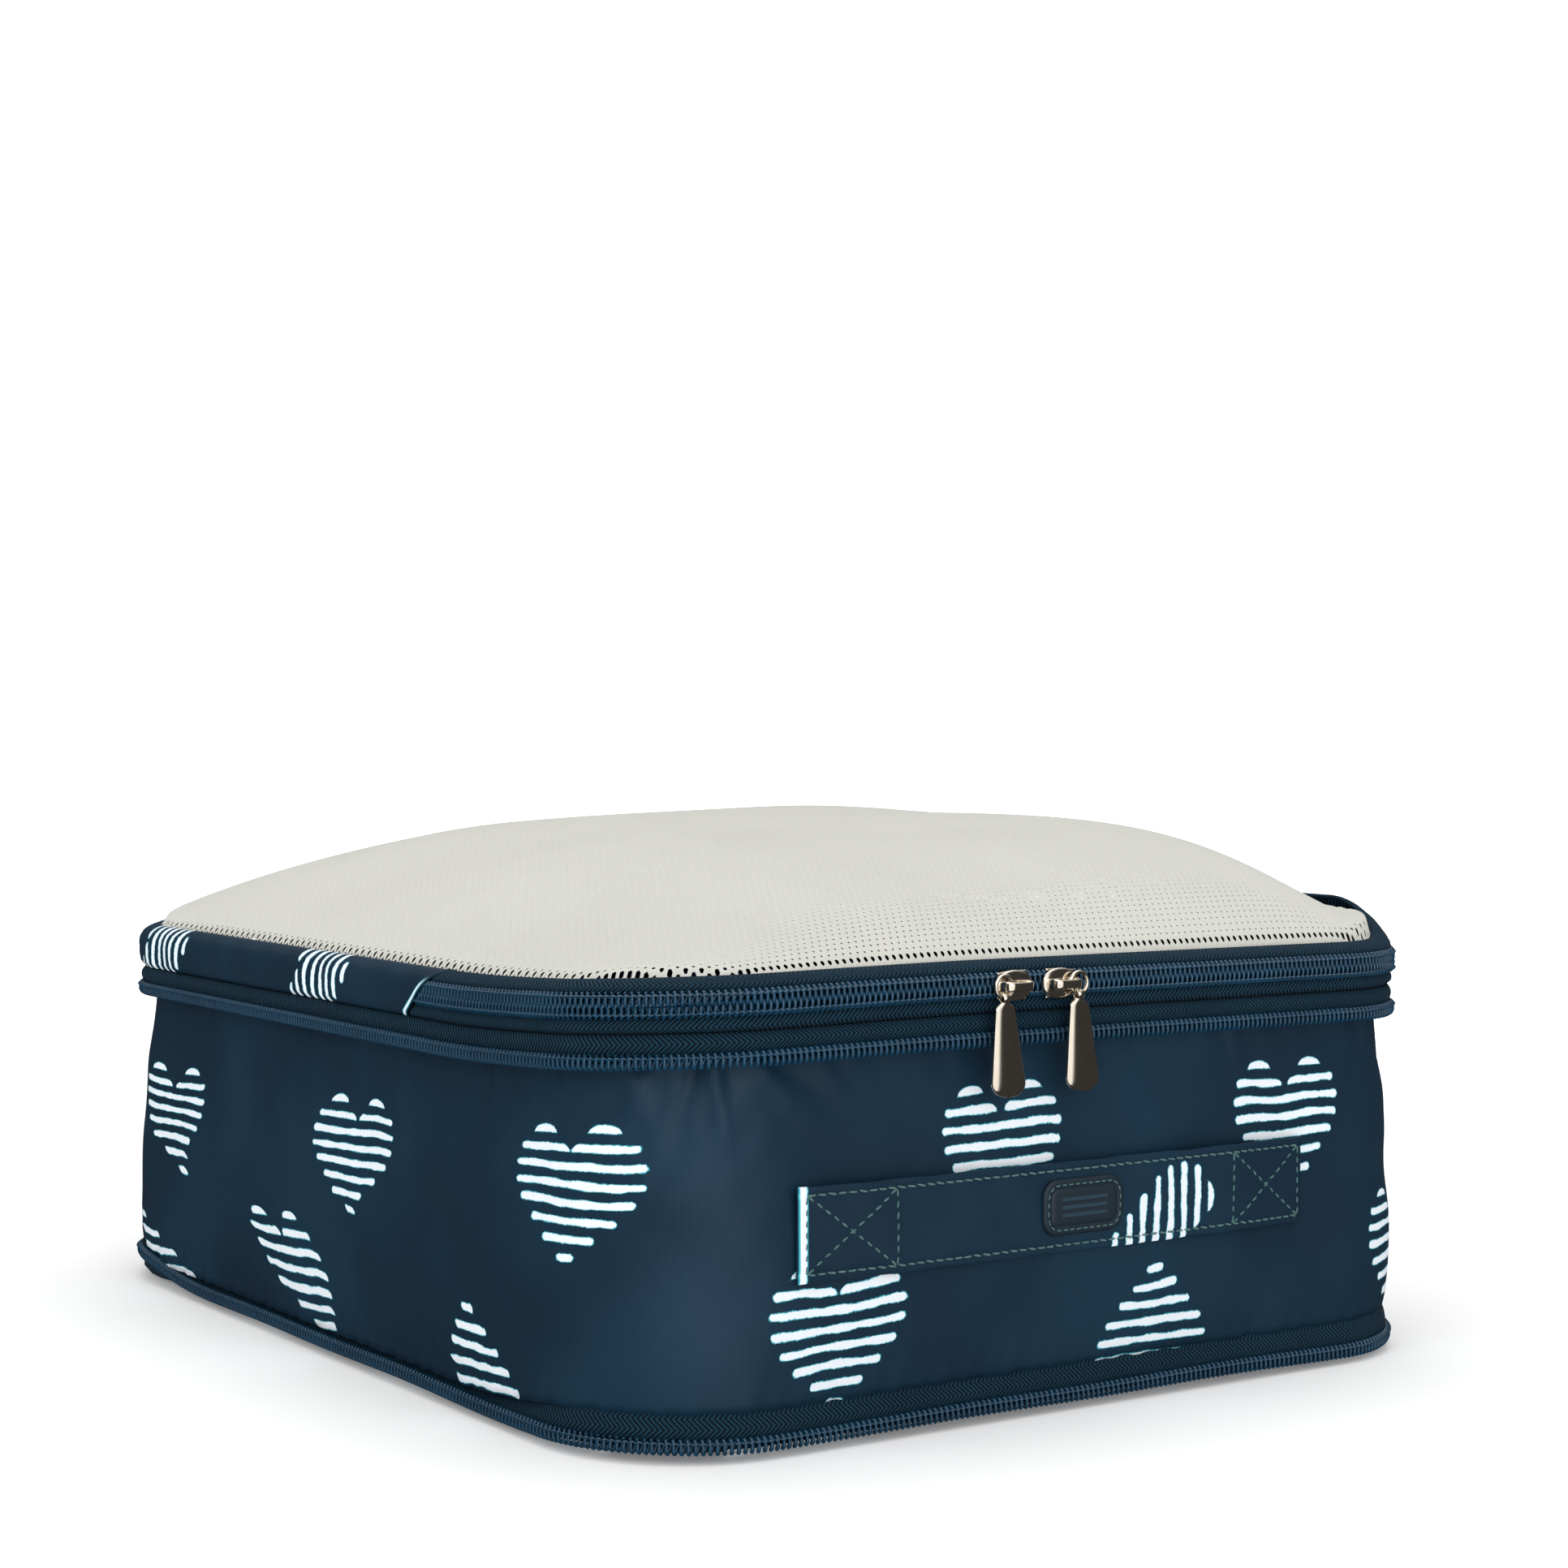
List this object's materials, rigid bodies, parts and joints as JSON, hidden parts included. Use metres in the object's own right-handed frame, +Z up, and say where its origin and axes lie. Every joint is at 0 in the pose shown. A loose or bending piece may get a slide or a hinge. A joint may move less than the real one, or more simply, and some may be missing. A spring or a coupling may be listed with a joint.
{
  "type": "packing cube",
  "caption": "Soft zipped packing cube with a mesh top, a front carry strap, a folding lid and a compression zip that lowers its upper frame.",
  "frame": {"origin": "centre of the footprint, on the surface the case stands on", "axes": "+X along the handle side, the handle side faces -Y, +Z up"},
  "size_m": [0.2976, 0.3648, 0.1583],
  "materials": {
    "printed_nylon": "satin nylon, navy, printed with pale striped hearts",
    "zip_tape": "herringbone woven zip tape, dark teal navy",
    "zip_coil": "nylon coil, teal navy, semi gloss",
    "mesh_net": "open polyester net, bone",
    "binding_tape": "grosgrain binding, dark navy",
    "badge_rubber": "moulded soft rubber, dark, plain grip ribs",
    "zip_fittings": "moulded plastic zip end fittings",
    "zip_metal": "polished gunmetal champagne plating"
  },
  "bodies": {
    "base": {"base_panel": "printed_nylon", "body_wall": "printed_nylon", "back_seam_binding": "binding_tape", "base_seam_binding": "binding_tape", "lower_compression_tape": "zip_tape", "lower_compression_coil": "zip_coil", "insertion_pin": "zip_fittings", "handle_strap": "printed_nylon", "handle_badge": "badge_rubber"},
    "top_frame": {"upper_compression_tape": "zip_tape", "upper_compression_coil": "zip_coil", "retainer_box": "zip_fittings", "main_zip_lower_tape": "zip_tape", "main_zip_lower_coil": "zip_coil", "rear_gusset": "printed_nylon", "rear_mesh": "mesh_net", "frame_seam_binding": "binding_tape"},
    "lid": {"lid_mesh": "mesh_net", "main_zip_upper_tape": "zip_tape", "main_zip_upper_coil": "zip_coil", "lid_seam_binding": "binding_tape"},
    "slider_left": {"slider_left": "zip_metal"},
    "slider_right": {"slider_right": "zip_metal"},
    "compression_slider": {"compression_slider": "zip_metal"},
    "ring_left": {"ring_left": "zip_metal"},
    "ring_right": {"ring_right": "zip_metal"},
    "compression_ring": {"compression_ring": "zip_metal"},
    "pull_left": {"pull_left": "zip_metal"},
    "pull_right": {"pull_right": "zip_metal"},
    "compression_pull": {"compression_pull": "zip_metal"}
  },
  "joints": [
    {"name": "compression", "type": "slide", "parent": "base", "child": "top_frame", "axis": [0, 0, -1], "range_m": [0, 0.082], "deforming": ["body_wall", "back_seam_binding", "handle_strap", "handle_badge"]},
    {"name": "lid_fold", "type": "hinge", "parent": "top_frame", "child": "lid", "pos_m": [0, -0.069, 0.1589], "axis": [-1, 0, 0], "range_deg": [0, 160]},
    {"name": "slider_left_travel", "type": "slide", "parent": "top_frame", "child": "slider_left", "axis": [-1, 0, 0], "range_m": [0, 0.062]},
    {"name": "slider_right_travel", "type": "slide", "parent": "top_frame", "child": "slider_right", "axis": [1, 0, 0], "range_m": [0, 0.105]},
    {"name": "compression_slider_travel", "type": "slide", "parent": "top_frame", "child": "compression_slider", "axis": [1, 0, 0], "range_m": [0, 0.168]},
    {"name": "ring_left_swing", "type": "hinge", "parent": "slider_left", "child": "ring_left", "pos_m": [-0.0306, -0.18005, 0.119], "axis": [0, 0, 1], "range_deg": [0, 90]},
    {"name": "ring_right_swing", "type": "hinge", "parent": "slider_right", "child": "ring_right", "pos_m": [-0.0104, -0.18005, 0.119], "axis": [0, 0, -1], "range_deg": [0, 90]},
    {"name": "compression_ring_swing", "type": "hinge", "parent": "compression_slider", "child": "compression_ring", "pos_m": [-0.0744, 0.18005, 0.1024], "axis": [0, 0, 1], "range_deg": [0, 90]},
    {"name": "pull_left_swing", "type": "hinge", "parent": "ring_left", "child": "pull_left", "pos_m": [-0.0336, -0.18005, 0.116], "axis": [-1, 0, 0], "range_deg": [0, 90]},
    {"name": "pull_right_swing", "type": "hinge", "parent": "ring_right", "child": "pull_right", "pos_m": [-0.0074, -0.18005, 0.116], "axis": [-1, 0, 0], "range_deg": [0, 90]},
    {"name": "compression_pull_swing", "type": "hinge", "parent": "compression_ring", "child": "compression_pull", "pos_m": [-0.0714, 0.18005, 0.0994], "axis": [1, 0, 0], "range_deg": [0, 90]}
  ]
}
